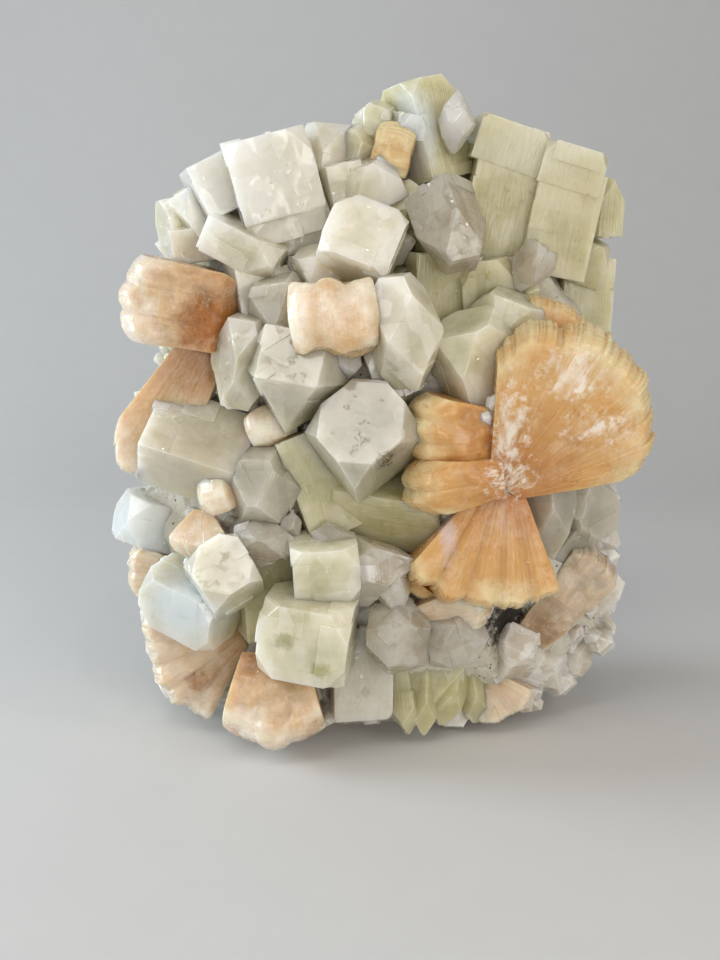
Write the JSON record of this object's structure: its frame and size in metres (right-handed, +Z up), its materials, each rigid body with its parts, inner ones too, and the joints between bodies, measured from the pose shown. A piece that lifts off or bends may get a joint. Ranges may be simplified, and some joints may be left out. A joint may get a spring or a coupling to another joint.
{
  "type": "apophyllite cluster",
  "caption": "Blocky milky and green apophyllite crystals with peach stilbite sheaves on a basalt matrix, standing on a flat cut base.",
  "frame": {"origin": "middle of the flat base that the matrix stands on", "axes": "+Z up, -Y towards the crystal-covered front, +X to the right when it is seen from the front"},
  "size_m": [0.1484, 0.0931, 0.1853],
  "materials": {
    "milky_apophyllite": "pearly to glassy, milky, half see-through",
    "green_apophyllite": "glassy, pale olive green, finely grooved along the crystal",
    "yellow_apophyllite": "glassy, pale yellow-green with a milky core",
    "clear_apophyllite": "clear and bright, with flaws inside",
    "peach_stilbite": "silky, radiating blades, peach to orange",
    "pale_stilbite": "silky, radiating blades, cream to pale peach",
    "basalt_matrix": "rough grey-brown rock with a whitish crust and dark specks"
  },
  "bodies": {
    "root": {"matrix": "basalt_matrix", "apophyllite_centre_tip": "milky_apophyllite", "apophyllite_centre": "milky_apophyllite", "apophyllite_centre_left": "milky_apophyllite", "apophyllite_lower_cube": "yellow_apophyllite", "apophyllite_lower_yellow": "yellow_apophyllite", "apophyllite_lower_left": "milky_apophyllite", "apophyllite_lower_glassy": "clear_apophyllite", "apophyllite_lower_clear": "clear_apophyllite", "apophyllite_centre_top": "milky_apophyllite", "apophyllite_right_pale": "yellow_apophyllite", "apophyllite_included": "clear_apophyllite", "apophyllite_left_round": "milky_apophyllite", "apophyllite_upper_left": "milky_apophyllite", "apophyllite_hanging": "clear_apophyllite", "apophyllite_left_striated": "milky_apophyllite", "apophyllite_lower_middle": "green_apophyllite", "apophyllite_left_edge_bright": "milky_apophyllite", "apophyllite_small_long": "clear_apophyllite", "apophyllite_small_stub": "clear_apophyllite", "apophyllite_small_pointed": "clear_apophyllite", "apophyllite_lower_green_back": "green_apophyllite", "apophyllite_lower_prism": "milky_apophyllite", "apophyllite_right_tip": "milky_apophyllite", "apophyllite_lower_right_sparkle": "clear_apophyllite", "apophyllite_lower_spikes": "green_apophyllite", "apophyllite_top_glassy": "clear_apophyllite", "apophyllite_top_small": "yellow_apophyllite", "apophyllite_top_striated": "green_apophyllite", "apophyllite_upper_right": "green_apophyllite", "apophyllite_top_grey": "milky_apophyllite", "apophyllite_left_edge_small": "milky_apophyllite", "apophyllite_small_clear_right": "clear_apophyllite", "apophyllite_right_edge": "green_apophyllite", "apophyllite_green_middle": "green_apophyllite", "apophyllite_brown_glassy": "clear_apophyllite", "apophyllite_side_left_upper": "milky_apophyllite", "apophyllite_side_left_lower": "milky_apophyllite", "apophyllite_side_right": "green_apophyllite", "apophyllite_top_back": "milky_apophyllite", "stilbite_centre": "peach_stilbite", "stilbite_right_bow_tie": "peach_stilbite", "stilbite_lower_lump": "peach_stilbite", "stilbite_left_bow_tie": "peach_stilbite", "stilbite_lower_right_blade": "pale_stilbite", "stilbite_behind_top": "peach_stilbite", "stilbite_lower_left_blades": "pale_stilbite", "stilbite_lens": "pale_stilbite", "stilbite_amber_chunk": "peach_stilbite", "stilbite_cream_small": "pale_stilbite", "stilbite_left_lump": "peach_stilbite", "stilbite_middle_small": "peach_stilbite", "stilbite_top_small": "peach_stilbite", "stilbite_left_edge_bit": "pale_stilbite", "stilbite_bottom_small": "pale_stilbite"}
  },
  "joints": []
}
